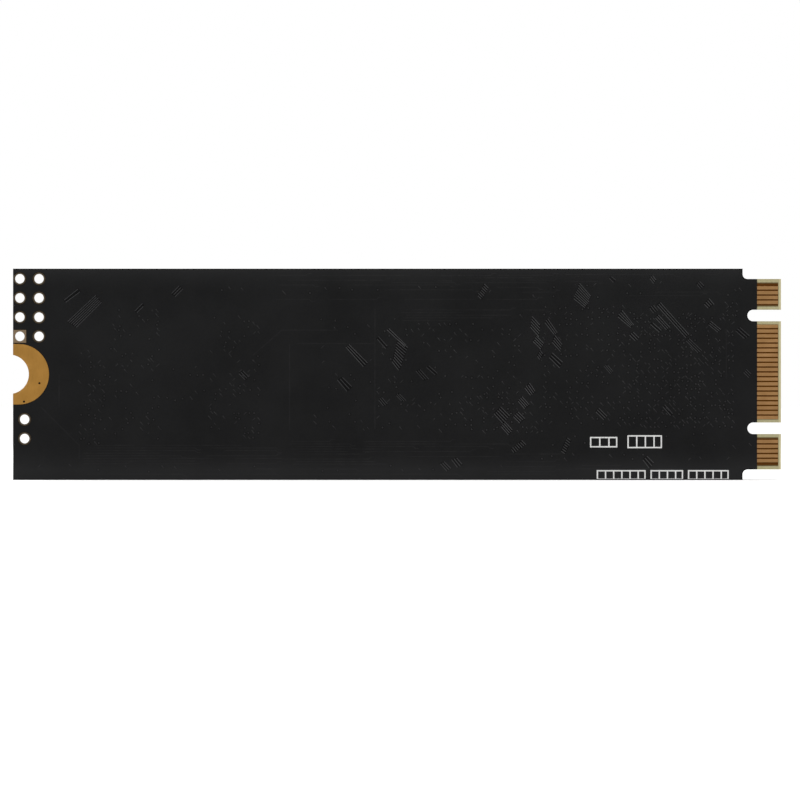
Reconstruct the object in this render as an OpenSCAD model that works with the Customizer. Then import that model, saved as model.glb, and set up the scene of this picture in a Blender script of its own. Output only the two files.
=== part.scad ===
// Solid state drive on an M.2 2280 card with a B+M edge connector, components on one side.
// The card stands on its long edge: +X points into the socket, +Z is the M-key side and -Y is the bare face.
// The origin is the middle of the edge that enters the socket, halfway through the card.
// Modules draw in card coordinates: x along the card, y across it and z out of the bare face.
// upright() turns them.

/* [Card] */
// Length of the card
card_len = 80; // [79:0.1:82]
// Width of the card
card_w = 22; // [21.8:0.1:22.4]
// Thickness of the glass-epoxy laminate
laminate_t = 0.70; // [0.6:0.01:0.8]
// Thickness of each outer copper layer
copper_t = 0.035; // [0.02:0.005:0.05]
// Thickness of the solder mask over the copper
mask_t = 0.02; // [0.01:0.005:0.04]
// Thickness of the printed marks
print_t = 0.012; // [0.005:0.001:0.02]
// Space between the solder mask and the edges of the card
mask_inset = 0.10; // [0.05:0.01:0.2]
// Space between the copper field and the edges of the card
copper_inset = 0.35; // [0.25:0.05:0.6]

/* [Edge connector] */
// Width of the tongue that enters the socket
tongue_w = 19.85; // [19.7:0.05:20]
// Length of the tongue, from its front edge to the shoulders
tongue_len = 4.0; // [3.8:0.1:4.5]
// Fillet between the tongue and each shoulder
shoulder_r = 0.5; // [0.2:0.1:0.8]
// Width of each key notch
key_w = 1.2; // [1.1:0.05:1.3]
// Depth of each key notch from the front edge
key_depth = 3.5; // [3.3:0.1:3.7]
// Distance of the M-key notch from the card's centre line
key_m_y = 6.125; // [6.0:0.025:6.25]
// Distance of the B-key notch from the card's centre line, on the other side
key_b_y = 5.625; // [5.5:0.025:5.75]
// Distance between neighbouring contacts of one side
contact_pitch = 0.5; // [0.5:0.5:0.5]
// Width of a contact
contact_w = 0.35; // [0.3:0.01:0.4]
// Distance from the front edge to the end of the contacts
contact_setback = 0.32; // [0.25:0.01:0.5]
// Distance from the front edge to the solder mask
mask_setback = 2.5; // [2.3:0.1:3]
// Length of the bevel on the front edge
bevel_len = 0.3; // [0.1:0.05:0.3]
// Depth of the bevel on each face
bevel_depth = 0.16; // [0.05:0.01:0.2]

/* [Screw notch] */
// Radius of the round notch for the screw
notch_r = 2.05; // [1.75:0.05:2.2]
// Distance of the notch's centre outside the end of the card
notch_out = 0.40; // [0:0.05:0.6]
// Outer radius of the ground pad round the notch
ground_pad_r = 3.15; // [2.75:0.05:3.2]
// Distance of the pad's centre inside the end of the card
ground_pad_in = 0.6; // [0:0.1:0.8]

/* [Plated holes] */
// Radius of the open hole
hole_r = 0.5; // [0.4:0.05:0.6]
// Thickness of the plating in the hole
plating_t = 0.03; // [0.02:0.005:0.05]
// Outer radius of the ring round a hole
ring_r = 0.66; // [0.6:0.02:0.8]
// Distance between neighbouring holes
hole_pitch = 2.0; // [1.8:0.1:2.2]
// Distance of the first column of service holes from the end of the card
service_in = 0.70; // [0.68:0.01:0.9]
// Height of the lowest service hole above the centre line
service_y = 3.95; // [3.9:0.05:4.1]
// Distance of the jumper holes from the end of the card
jumper_in = 1.20; // [1:0.1:1.5]
// Distance of the nearer jumper hole below the centre line
jumper_y = 4.70; // [4.6:0.1:5]

/* [Flash memory packages] */
// Length of a flash package along the card
flash_l = 14; // [12:0.5:14]
// Width of a flash package across the card
flash_w = 18; // [16:0.5:18]
// Thickness of a flash package above its solder balls
flash_h = 0.90; // [0.8:0.05:1.1]
// Distance between solder balls
flash_pitch = 1.0; // [1:0.1:1]

/* [Controller] */
// Side of the square controller package
controller_l = 12; // [10:0.5:12.5]
// Thickness of the controller above its solder balls
controller_h = 0.85; // [0.7:0.05:1]
// Distance between solder balls
controller_pitch = 0.8; // [0.8:0.05:0.8]

/* [Power parts] */
// Side of a power inductor
coil_l = 4.0; // [3:0.1:4.2]
// Height of a power inductor
coil_h = 1.2; // [1:0.05:1.4]
// Side of the power management chip
power_l = 4.0; // [3:0.5:4]
// Height of the power management chip
power_h = 0.85; // [0.7:0.05:0.9]

/* [Hidden] */

$fn = 48;
// How far a cut runs past the solid that it cuts
past = 1;

// Heights above the middle of the laminate
laminate_z = laminate_t / 2;
copper_z = laminate_z + copper_t;
mask_z = copper_z + mask_t;

// Gap between an exposed pad and the solder mask round it
mask_gap = 0.05;
// Gap between the copper field and anything it must not touch
field_gap = 0.25;

end_x = -card_len;
notch_x = end_x - notch_out;
pad_x = end_x + ground_pad_in;

// Two drill marks in the ground pad
pad_mark_r = 0.11;
pad_marks = [[end_x + 2.75, -0.93], [end_x + 1.15, -2.85]];

service_holes = [for (column = [0, 1], row = [0:3])
    [end_x + service_in + column * hole_pitch, service_y + row * hole_pitch]];
jumper_holes = [for (row = [0, 1]) [end_x + jumper_in, -jumper_y - row * hole_pitch]];
all_holes = concat(service_holes, jumper_holes);
// The first service hole has a square pad
first_pad_l = 1.35;

// Pin n lies (n - middle pin) quarter millimetres from the centre line, even pins on the bare side
middle_pin = 38;
even_pins = [for (n = [2:2:10]) n, for (n = [20:2:58]) n, for (n = [68:2:74]) n];
odd_pins = [for (n = [1:2:11]) n, for (n = [21:2:57]) n, for (n = [67:2:75]) n];

// Package centres on the component side
flash_1_at = [-65.4, 0];
flash_2_at = [-49.2, 0];
controller_at = [-19.6, 0];
power_at = [-35.4, 3.6];
boot_memory_at = [-9.2, -5.2];
regulator_at = [-29.2, 8.2];
crystal_at = [-10.0, 6.6];
inductor_places = [[-39.5, -3.1], [-39.5, -8.0], [-34.6, -8.0]];
fuse_at = [-6.4, 5.9];

// Ball standoff and the substrate under each moulded package
ball_h = 0.25;
ball_r = 0.22;
small_ball_r = 0.18;
substrate_t = 0.20;
pin_one_r = 0.45;
pin_one_depth = 0.04;
pin_one_in = 1.1;

flash_columns = [-5, -4, -3, -2, 2, 3, 4, 5];
flash_rows = [-6:6];
flash_die = [9.6, 11.4, 0.09];
flash_die_count = 4;
flash_die_step = 0.45;
controller_balls_across = 14;
controller_ball_rows = 3;
controller_die_size = [4.4, 4.0, 0.20];

// Chip capacitors and resistors: length, width, height and length of each terminal
bulk_size = [2.0, 1.25, 0.95, 0.40];
small_size = [1.0, 0.5, 0.5, 0.24];
resistor_size = [1.0, 0.5, 0.32, 0.22];
fuse_size = [1.6, 0.8, 0.5, 0.30];
coat_t = 0.03;

// Centre and turn of each small part, placed in rows beside the chip it serves
bulk_places = [
    [-36.4, -3.2, 90], [-34.7, -3.2, 90], [-33.0, -3.2, 90],
    [-31.3, -9.2, 90], [-31.3, -6.7, 90], [-29.6, -9.2, 90],
    [-40.4, 1.4, 90], [-38.7, 1.4, 90],
    [-37.2, 9.2, 0], [-34.0, 9.2, 0], [-6.4, 8.9, 90],
];
small_places = concat(
    [for (i = [0:8]) [-57.3, -8 + 2 * i, 90]],
    [for (i = [0:3]) [-73.6, -7.5 + 1.5 * i, 90]],
    [for (i = [0:4]) [-24 + 2.2 * i, 7.3, 90], for (i = [0:4]) [-24 + 2.2 * i, -7.3, 90]],
    [for (i = [0:3]) [-11.9, -1.1 + 0.9 * i, 0]],
    [for (i = [0:2]) [-36.8 + 1.4 * i, 6.8, 90]],
    [for (i = [0:2]) [-31.4 + 1.4 * i, 3.2, 90]],
    // The coupling capacitors of the two data pairs, behind their pins
    [for (y = [0.4, 1.2, 2.3, 3.1]) [-5.9, y, 0]],
    [[-31.6, 8.2, 90], [-26.8, 8.2, 90], [-12.8, 5.8, 90], [-12.8, 7.4, 90]]
);
resistor_places = concat(
    [for (i = [0:3]) [-26.9, -9.3 + 1.0 * i, 0]],
    [for (i = [0:3]) [-31.4 + 1.2 * i, 1.0, 90]],
    [for (i = [0:4]) [-22.6 + 2.2 * i, 9.4, 0]],
    [for (i = [0:2]) [-22.6 + 2.2 * i, -9.4, 0]],
    [for (i = [0:3]) [-40.2, 5.4 + 1.0 * i, 0]],
    [for (i = [0:2]) [-5.9 - 1.5 * i, -9.6, 0]],
    [for (i = [0:2]) [-9.4 + 0.9 * i, 0.6, 90]]
);

// Gull-wing leads: thickness, foot length, and the width of the leads of each package
lead_t = 0.15;
lead_foot = 0.5;
boot_body = [4.9, 3.9, 1.25];
boot_span = 5.9;
boot_lead_w = 0.40;
boot_pitch = 1.27;
regulator_size = [2.9, 1.6, 1.0];
regulator_span = 2.7;
regulator_lead_w = 0.40;
regulator_pitch = 0.95;
lead_lift = 0.10;
body_draft = 0.12;

power_pad_t = 0.05;
power_pads_a_side = 6;
power_pad_pitch = 0.5;
power_pad_size = [0.4, 0.25];
power_centre_pad = 2.4;
power_die = [1.8, 1.8, 0.2];

coil_wire = [0.55, 0.60];
coil_mean_r = 1.15;
terminal_t = 0.10;
terminal_w = 1.5;
terminal_reach = 0.9;

crystal_size = [3.2, 2.5, 0.60];
crystal_wall = 0.35;
crystal_floor = 0.25;
crystal_lid_t = 0.12;
crystal_ledge = 0.45;
crystal_quartz = [2.1, 1.3, 0.06];

// Space that a solder land shows round the foot of a part
land_rim = 0.10;

// Printed ladder marks on the bare face: start and height of each row, its cells, and the width of its lines
print_line = 0.14;
ladders = [
    // x, y, cell length, cell height, cells
    [-19.90, -7.62, 0.95, 1.10, 3],
    [-16.00, -7.70, 0.90, 1.35, 4],
    [-19.20, -11.0, 0.85, 1.02, 6],
    [-13.60, -11.0, 0.85, 1.02, 4],
    [-9.70, -11.0, 0.85, 1.02, 5],
];

colour_laminate = [0.66, 0.62, 0.44];
colour_copper = [0.72, 0.45, 0.24];
colour_mask = [0.12, 0.12, 0.12];
colour_gold = [0.62, 0.46, 0.25];
colour_print = [0.78, 0.78, 0.76];
colour_solder = [0.72, 0.73, 0.74];
colour_mould = [0.10, 0.10, 0.11];
colour_substrate = [0.10, 0.22, 0.14];
colour_silicon = [0.36, 0.38, 0.42];
colour_tin = [0.75, 0.75, 0.74];
colour_capacitor = [0.62, 0.50, 0.36];
colour_ceramic = [0.88, 0.88, 0.86];
colour_core = [0.30, 0.30, 0.31];
colour_quartz = [0.85, 0.88, 0.90];
colour_lid = [0.70, 0.69, 0.66];
colour_coat = [0.07, 0.07, 0.08];

// ---- Frames ----

// Stands the card on its long edge
module upright() rotate([90, 0, 0]) children();

// Puts what is drawn for the bare side on the component side
module far_side() mirror([0, 0, 1]) children();

// A part on the component side, drawn with z up from the mask
module seated(at, turn = 0) far_side() translate([at[0], at[1], mask_z]) rotate(turn) children();

module slab(z_low, z_high) translate([0, 0, z_low]) linear_extrude(z_high - z_low) children();

// A box centred in x and y, from z_low upwards
module block(size, z_low = 0) translate([-size[0] / 2, -size[1] / 2, z_low]) cube(size);

// A centred rectangle with rounded corners, from true arcs
module round_rect(l, w, r) {
    square([l - 2 * r, w], center = true);
    square([l, w - 2 * r], center = true);
    for (sx = [-1, 1], sy = [-1, 1]) translate([sx * (l / 2 - r), sy * (w / 2 - r)]) circle(r);
}

// ---- Outlines of the card ----

// Each outline can be drawn smaller by an inset, which keeps its arcs true

module shoulder_fillet(inset) difference() {
    r = shoulder_r + inset;
    translate([-tongue_len - inset, tongue_w / 2 - inset]) square([r, r]);
    translate([shoulder_r - tongue_len, tongue_w / 2 + shoulder_r]) circle(r);
}

module key_notch(y, inset) {
    translate([-key_depth + key_w / 2, y]) circle(key_w / 2 + inset);
    translate([-key_depth + key_w / 2, y - key_w / 2 - inset]) square([key_depth + past, key_w + 2 * inset]);
}

module card_outline(inset = 0) difference() {
    union() {
        translate([end_x + inset, -card_w / 2 + inset])
            square([card_len - tongue_len - 2 * inset, card_w - 2 * inset]);
        translate([-tongue_len - past, -tongue_w / 2 + inset])
            square([tongue_len + past, tongue_w - 2 * inset]);
        for (m = [0, 1]) mirror([0, m]) shoulder_fillet(inset);
    }
    key_notch(key_m_y, inset);
    key_notch(-key_b_y, inset);
    translate([notch_x, 0]) circle(notch_r + inset, $fn = 96);
}

module holes(places, r) for (p = places) translate(p) circle(r);

// The ground pad's D shape, grown by g
module pad_shape(g = 0) {
    translate([pad_x, 0]) circle(ground_pad_r + g, $fn = 96);
    translate([end_x - past, -ground_pad_r - g]) square([ground_pad_in + past, 2 * (ground_pad_r + g)]);
}

module first_pad(g = 0) translate(service_holes[0])
    square(first_pad_l + 2 * g, center = true);

// The part of the card that the solder mask can cover
module masked_area() difference() {
    card_outline(mask_inset);
    translate([-mask_setback, -card_w]) square([mask_setback + past, 2 * card_w]);
    pad_shape(mask_gap);
    first_pad(mask_gap);
    holes(all_holes, ring_r + mask_gap);
}

// The copper field, clear of the edges, the notches and every hole
module copper_field() difference() {
    translate([end_x + copper_inset, copper_inset - card_w / 2])
        square([card_len - tongue_len - 2 * copper_inset, card_w - 2 * copper_inset]);
    pad_shape(field_gap);
    first_pad(field_gap);
    holes(all_holes, ring_r + field_gap);
}

// ---- Card ----

// Cuts the bevel of one face off the front edge
module bevel_cut() translate([0, -card_w / 2, 0]) rotate([-90, 0, 0]) linear_extrude(card_w)
    polygon([
        [-bevel_len, -laminate_z],
        [past, -laminate_z + bevel_depth * (1 + past / bevel_len)],
        [past, -laminate_z - past],
        [-bevel_len, -laminate_z - past],
    ]);

module pcb_laminate() color(colour_laminate) upright() difference() {
    slab(-laminate_z, laminate_z) difference() {
        card_outline();
        holes(all_holes, hole_r + plating_t);
        holes(pad_marks, pad_mark_r);
    }
    bevel_cut();
    far_side() bevel_cut();
}

module copper_layer() slab(laminate_z, copper_z) copper_field();
module copper_layer_bare_side() color(colour_copper) upright() copper_layer();
module copper_layer_component_side() color(colour_copper) upright() far_side() copper_layer();

// The mask lies on the laminate round the copper field and over the field
module mask_sheet() {
    slab(laminate_z, copper_z) difference() {
        masked_area();
        copper_field();
    }
    slab(copper_z, mask_z) masked_area();
}

module solder_mask_bare_side() color(colour_mask) upright() mask_sheet();

module solder_mask_component_side() color(colour_mask) upright() far_side() difference() {
    mask_sheet();
    slab(copper_z, mask_z + past) all_lands();
}

// ---- Edge contacts ----

module contacts(pins) for (n = pins)
    translate([-mask_setback, (n - middle_pin) * contact_pitch / 2 - contact_w / 2, laminate_z])
        cube([mask_setback - contact_setback, contact_w, copper_t]);

module edge_contacts_bare_side() color(colour_gold) upright() contacts(even_pins);
module edge_contacts_component_side() color(colour_gold) upright() far_side() contacts(odd_pins);

// ---- Ground pads and plated holes ----

module screw_pad() slab(laminate_z, copper_z) difference() {
    intersection() {
        pad_shape();
        card_outline();
    }
    holes(pad_marks, pad_mark_r);
}

module screw_pad_bare_side() color(colour_gold) upright() screw_pad();
module screw_pad_component_side() color(colour_gold) upright() far_side() screw_pad();

module barrel(at, square_pad = false) translate(at) difference() {
    union() {
        slab(-laminate_z, laminate_z) circle(hole_r + plating_t);
        for (s = [0, 1]) mirror([0, 0, s]) slab(laminate_z, copper_z) {
            if (square_pad) square(first_pad_l, center = true);
            else circle(ring_r);
        }
    }
    slab(-laminate_z - past, laminate_z + past) circle(hole_r);
}

module service_hole_barrels() color(colour_gold) upright()
    for (i = [0:len(service_holes) - 1]) barrel(service_holes[i], square_pad = i == 0);

module jumper_hole_barrels() color(colour_gold) upright() for (p = jumper_holes) barrel(p);

// ---- Printed marks ----

// Ink lies on the mask alone
module printed() slab(mask_z, mask_z + print_t) intersection() {
    masked_area();
    union() children();
}

// A row of empty cells
module ladder(l) translate([l[0], l[1]]) difference() {
    square([l[2] * l[4], l[3]]);
    for (i = [0:l[4] - 1]) translate([l[2] * i + print_line, print_line])
        square([l[2] - print_line * (i < l[4] - 1 ? 1 : 2), l[3] - 2 * print_line]);
}

module printed_marks_bare_side() color(colour_print) upright() printed() for (l = ladders) ladder(l);

// Corner angles round a package, with a dot at pin one
module package_marks(at, l, w) translate(at) {
    for (sx = [-1, 1], sy = [-1, 1]) scale([sx, sy]) translate([l / 2 + 0.15, w / 2 + 0.15]) {
        translate([-1, 0]) square([1 + print_line, print_line]);
        translate([0, -1]) square([print_line, 1]);
    }
    translate([-l / 2 - 0.45, w / 2 - 1.35]) circle(0.16);
}

module printed_marks_component_side() color(colour_print) upright() far_side() printed() {
    package_marks(flash_1_at, flash_l, flash_w);
    package_marks(flash_2_at, flash_l, flash_w);
    package_marks(controller_at, controller_l, controller_l);
    for (p = inductor_places) translate(p) for (s = [-1, 1])
        translate([0, s * (coil_l / 2 + 0.25)]) square([coil_l - 1, print_line], center = true);
}

// ---- Solder lands ----

module chip_lands(places, s) for (p = places) translate([p[0], p[1]]) rotate(p[2]) for (side = [-1, 1])
    translate([side * (s[0] - s[3]) / 2, 0])
        square([s[3] + 2 * land_rim, s[1] + land_rim], center = true);

module lead_lands(at, turn, span, ys, w) translate(at) rotate(turn) for (side = [-1, 1], y = ys(side))
    translate([side * (span - lead_foot) / 2, y])
        square([lead_foot + 2 * land_rim, w + land_rim], center = true);

boot_rows = function (side) [for (i = [0:3]) (i - 1.5) * boot_pitch];
regulator_rows = function (side) side < 0 ? [-1, 0, 1] * regulator_pitch : [-1, 1] * regulator_pitch;

module all_lands() {
    chip_lands(bulk_places, bulk_size);
    chip_lands(small_places, small_size);
    chip_lands(resistor_places, resistor_size);
    chip_lands([[fuse_at[0], fuse_at[1], 90]], fuse_size);
    lead_lands(boot_memory_at, 0, boot_span, boot_rows, boot_lead_w);
    lead_lands(regulator_at, 0, regulator_span, regulator_rows, regulator_lead_w);
    for (p = inductor_places) translate(p) for (side = [-1, 1])
        translate([side * (coil_l - terminal_reach) / 2, 0])
            square([terminal_reach + 2 * land_rim, terminal_w + 2 * land_rim], center = true);
}

module solder_lands() color(colour_solder) upright() far_side() slab(copper_z, mask_z) all_lands();

// ---- Ball grid packages ----

module ball(r) intersection() {
    translate([0, 0, ball_h / 2]) sphere(r);
    block([2 * r, 2 * r, ball_h]);
}

module package_substrate(l, w) block([l, w, substrate_t], ball_h);

// Moulding over the whole substrate, with a space for what it encloses and a pin-one dimple
module package_mould(l, w, h) difference() {
    block([l, w, h - substrate_t], ball_h + substrate_t);
    translate([-l / 2 + pin_one_in, w / 2 - pin_one_in, ball_h + h - pin_one_depth])
        cylinder(h = past, r = pin_one_r);
    children();
}

module flash_dies() for (i = [0:flash_die_count - 1])
    translate([(i - (flash_die_count - 1) / 2) * flash_die_step, 0, 0])
        block(flash_die, ball_h + substrate_t + i * flash_die[2]);

module flash_balls() for (x = flash_columns, y = flash_rows)
    translate([x * flash_pitch, y * flash_pitch, 0]) ball(ball_r);

module flash_substrate_at(at)
    color(colour_substrate) upright() seated(at) package_substrate(flash_l, flash_w);
module flash_mould_at(at) color(colour_mould) upright() seated(at)
    package_mould(flash_l, flash_w, flash_h) flash_dies();
module flash_dies_at(at) color(colour_silicon) upright() seated(at) flash_dies();
module flash_balls_at(at) color(colour_solder) upright() seated(at) flash_balls();

module flash_1_substrate() flash_substrate_at(flash_1_at);
module flash_1_mould() flash_mould_at(flash_1_at);
module flash_1_dies() flash_dies_at(flash_1_at);
module flash_1_balls() flash_balls_at(flash_1_at);
module flash_2_substrate() flash_substrate_at(flash_2_at);
module flash_2_mould() flash_mould_at(flash_2_at);
module flash_2_dies() flash_dies_at(flash_2_at);
module flash_2_balls() flash_balls_at(flash_2_at);

module controller_die_block() block(controller_die_size, ball_h + substrate_t);

module controller_substrate() color(colour_substrate) upright() seated(controller_at)
    package_substrate(controller_l, controller_l);

module controller_mould() color(colour_mould) upright() seated(controller_at)
    package_mould(controller_l, controller_l, controller_h) controller_die_block();

module controller_die() color(colour_silicon) upright() seated(controller_at) controller_die_block();

module controller_balls() color(colour_solder) upright() seated(controller_at) {
    last = controller_balls_across - 1;
    for (i = [0:last], j = [0:last])
        if (min(i, j, last - i, last - j) < controller_ball_rows)
            translate([(i - last / 2) * controller_pitch, (j - last / 2) * controller_pitch, 0])
                ball(small_ball_r);
}

// ---- Power management chip: a flat no-lead package ----

module power_die_block() block(power_die, power_pad_t);

module power_chip_body() color(colour_mould) upright() seated(power_at) difference() {
    block([power_l, power_l, power_h - power_pad_t], power_pad_t);
    power_die_block();
    translate([-power_l / 2 + 0.6, power_l / 2 - 0.6, power_h - pin_one_depth]) cylinder(h = past, r = 0.2);
}

module power_chip_die() color(colour_silicon) upright() seated(power_at) power_die_block();

module power_chip_pads() color(colour_tin) upright() seated(power_at) {
    block([power_centre_pad, power_centre_pad, power_pad_t]);
    for (turn = [0:90:270], i = [0:power_pads_a_side - 1]) rotate(turn)
        translate([(power_l - power_pad_size[0]) / 2, (i - (power_pads_a_side - 1) / 2) * power_pad_pitch, 0])
            block([power_pad_size[0], power_pad_size[1], power_pad_t]);
}

// ---- Power inductors: a pressed core with its coil inside and a clip at each end ----

module coil_ring() translate([0, 0, (coil_h + terminal_t) / 2]) rotate_extrude()
    translate([coil_mean_r, 0]) square(coil_wire, center = true);

module inductor_core() difference() {
    slab(terminal_t, coil_h) round_rect(coil_l - 2 * terminal_t, coil_l, 0.35);
    coil_ring();
}

// A clip under one end that turns up the end face
module inductor_clip() {
    translate([coil_l / 2 - terminal_reach, -terminal_w / 2, 0])
        cube([terminal_reach, terminal_w, terminal_t]);
    translate([coil_l / 2 - terminal_t, -terminal_w / 2, 0]) cube([terminal_t, terminal_w, coil_h * 0.7]);
}

module inductor_cores() color(colour_core) upright() for (p = inductor_places) seated(p) inductor_core();
module inductor_coils() color(colour_copper) upright() for (p = inductor_places) seated(p) coil_ring();
module inductor_terminals() color(colour_tin) upright()
    for (p = inductor_places, turn = [0, 180]) seated(p, turn) inductor_clip();

// ---- Gull-wing packages ----

// A moulded body whose long sides slope to a parting line
module drafted_body(s) translate([0, s[1] / 2, 0]) rotate([90, 0, 0]) linear_extrude(s[1])
    polygon([
        [-s[0] / 2 + body_draft, lead_lift], [s[0] / 2 - body_draft, lead_lift],
        [s[0] / 2, s[2] / 2], [s[0] / 2 - body_draft, s[2]],
        [-s[0] / 2 + body_draft, s[2]], [-s[0] / 2, s[2] / 2],
    ]);

// One lead, from the body's side at half height, down and out to its foot
module gull_lead(body_l, span, body_h, w) {
    knee = (span - body_l) / 2 - lead_foot;
    high = body_h / 2 + lead_t / 2;
    translate([0, w / 2, 0]) rotate([90, 0, 0]) linear_extrude(w) polygon([
        [body_l / 2, high], [body_l / 2 + knee, high],
        [body_l / 2 + knee + lead_t, lead_t], [span / 2, lead_t],
        [span / 2, 0], [body_l / 2 + knee, 0],
        [body_l / 2 + knee - lead_t / 2, high - lead_t], [body_l / 2, high - lead_t],
    ]);
}

module leads(body, span, rows, w) for (side = [-1, 1], y = rows(side))
    translate([0, y, 0]) rotate(side < 0 ? 180 : 0) gull_lead(body[0], span, body[2], w);

// The body is turned so that its short way spans the leads
boot_across = [boot_body[1], boot_body[0], boot_body[2]];
regulator_across = [regulator_size[1], regulator_size[0], regulator_size[2]];

module boot_memory_body() color(colour_mould) upright() seated(boot_memory_at) difference() {
    drafted_body(boot_across);
    translate([-boot_across[0] / 2 + 0.7, boot_across[1] / 2 - 0.7, boot_body[2] - pin_one_depth])
        cylinder(h = past, r = 0.25);
}

module boot_memory_leads() color(colour_tin) upright() seated(boot_memory_at)
    leads(boot_across, boot_span, boot_rows, boot_lead_w);

module regulator_body() color(colour_mould) upright() seated(regulator_at) drafted_body(regulator_across);

module regulator_leads() color(colour_tin) upright() seated(regulator_at)
    leads(regulator_across, regulator_span, regulator_rows, regulator_lead_w);

// ---- Crystal: a ceramic tray, the quartz blank on its ledge and a metal lid ----

module crystal_base() color(colour_ceramic) upright() seated(crystal_at) difference() {
    slab(0, crystal_size[2]) round_rect(crystal_size[0], crystal_size[1], 0.15);
    slab(crystal_floor + 0.12, crystal_size[2] + past)
        square([crystal_size[0] - 2 * crystal_wall, crystal_size[1] - 2 * crystal_wall], center = true);
    translate([crystal_ledge / 2, 0, 0]) slab(crystal_floor, crystal_size[2] + past)
        square([crystal_size[0] - 2 * crystal_wall - crystal_ledge, crystal_size[1] - 2 * crystal_wall],
            center = true);
}

module crystal_blank() color(colour_quartz) upright() seated(crystal_at)
    block(crystal_quartz, crystal_floor + 0.12);

module crystal_lid() color(colour_lid) upright() seated(crystal_at)
    slab(crystal_size[2], crystal_size[2] + crystal_lid_t)
        round_rect(crystal_size[0] - 0.25, crystal_size[1] - 0.25, 0.2);

// ---- Chip capacitors, resistors and the fuse ----

module chip_body(s, inset) block([s[0] - 2 * s[3], s[1] - inset, s[2] - inset], inset / 2);

module chip_terminals(s) for (side = [-1, 1])
    translate([side * (s[0] - s[3]) / 2, 0, 0]) slab(0, s[2]) round_rect(s[3], s[1], s[3] * 0.2);

module at_places(places) for (p = places) seated([p[0], p[1]], p[2]) children();

module bulk_capacitor_bodies() color(colour_capacitor) upright()
    at_places(bulk_places) chip_body(bulk_size, 0.06);
module bulk_capacitor_terminals()
    color(colour_tin) upright() at_places(bulk_places) chip_terminals(bulk_size);
module small_capacitor_bodies() color(colour_capacitor) upright()
    at_places(small_places) chip_body(small_size, 0.03);
module small_capacitor_terminals() color(colour_tin) upright()
    at_places(small_places) chip_terminals(small_size);
module resistor_bodies() color(colour_ceramic) upright()
    at_places(resistor_places) chip_body(resistor_size, 0.04);
module resistor_terminals() color(colour_tin) upright()
    at_places(resistor_places) chip_terminals(resistor_size);

module resistor_coats() color(colour_coat) upright() at_places(resistor_places)
    block([resistor_size[0] - 2 * resistor_size[3], resistor_size[1] - 0.1, coat_t], resistor_size[2] - 0.02);

module fuse_body() color(colour_ceramic) upright() seated(fuse_at, 90) chip_body(fuse_size, 0.04);
module fuse_terminals() color(colour_tin) upright() seated(fuse_at, 90) chip_terminals(fuse_size);

// ---- Assembly ----

pcb_laminate();
copper_layer_bare_side();
copper_layer_component_side();
solder_mask_bare_side();
solder_mask_component_side();
edge_contacts_bare_side();
edge_contacts_component_side();
screw_pad_bare_side();
screw_pad_component_side();
service_hole_barrels();
jumper_hole_barrels();
printed_marks_bare_side();
printed_marks_component_side();
solder_lands();
flash_1_substrate();
flash_1_mould();
flash_1_dies();
flash_1_balls();
flash_2_substrate();
flash_2_mould();
flash_2_dies();
flash_2_balls();
controller_substrate();
controller_mould();
controller_die();
controller_balls();
power_chip_body();
power_chip_pads();
power_chip_die();
inductor_cores();
inductor_coils();
inductor_terminals();
boot_memory_body();
boot_memory_leads();
regulator_body();
regulator_leads();
crystal_base();
crystal_blank();
crystal_lid();
bulk_capacitor_bodies();
bulk_capacitor_terminals();
small_capacitor_bodies();
small_capacitor_terminals();
resistor_bodies();
resistor_terminals();
resistor_coats();
fuse_body();
fuse_terminals();
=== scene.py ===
"""Looks of an M.2 solid state drive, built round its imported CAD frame.

The card stands on its long edge. +X points into the socket, -Y is the bare face and +Y the component side.
Shapes are worked out in millimetres and become metres as they are made.
"""

import math
import random

import bpy
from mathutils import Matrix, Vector


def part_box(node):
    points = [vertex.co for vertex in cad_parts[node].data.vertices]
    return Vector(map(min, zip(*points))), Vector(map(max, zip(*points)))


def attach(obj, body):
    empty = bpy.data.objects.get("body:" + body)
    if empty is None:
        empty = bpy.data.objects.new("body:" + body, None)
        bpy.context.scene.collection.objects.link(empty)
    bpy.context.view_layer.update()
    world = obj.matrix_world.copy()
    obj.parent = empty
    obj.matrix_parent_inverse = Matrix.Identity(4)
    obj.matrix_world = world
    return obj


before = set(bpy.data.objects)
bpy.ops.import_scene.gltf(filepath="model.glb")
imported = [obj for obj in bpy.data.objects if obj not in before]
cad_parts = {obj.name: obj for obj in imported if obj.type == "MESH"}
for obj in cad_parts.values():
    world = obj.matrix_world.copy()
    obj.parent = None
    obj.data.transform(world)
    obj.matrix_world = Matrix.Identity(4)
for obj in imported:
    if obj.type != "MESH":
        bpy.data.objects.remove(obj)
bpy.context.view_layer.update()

MM = 0.001
BARE = -1
COMPONENT = 1


# ---- Places worked out from the frame, in millimetres ----


def box_mm(name):
    low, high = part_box(name)
    return low / MM, high / MM


def islands(name):
    """The boxes of a CAD node's separate solids, as (low, high) corners in millimetres."""
    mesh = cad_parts[name].data
    leader = {}

    def find(key):
        while leader.setdefault(key, key) != key:
            leader[key] = leader[leader[key]]
            key = leader[key]
        return key

    keys = [tuple(round(c / MM, 3) for c in v.co) for v in mesh.vertices]
    for face in mesh.polygons:
        first = find(keys[face.vertices[0]])
        for i in face.vertices[1:]:
            leader[find(keys[i])] = first
    groups = {}
    for key in set(keys):
        groups.setdefault(find(key), []).append(key)
    boxes = [(Vector(map(min, *g)), Vector(map(max, *g))) for g in groups.values()]
    return sorted(boxes, key=lambda b: tuple(b[0]))


def grouped(boxes, gap):
    """The z ranges that boxes fill, where boxes nearer than gap count as one range."""
    ranges = []
    for low, high in sorted((b[0].z, b[1].z) for b in boxes):
        if ranges and low - ranges[-1][1] < gap:
            ranges[-1][1] = max(ranges[-1][1], high)
        else:
            ranges.append([low, high])
    return ranges


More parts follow.
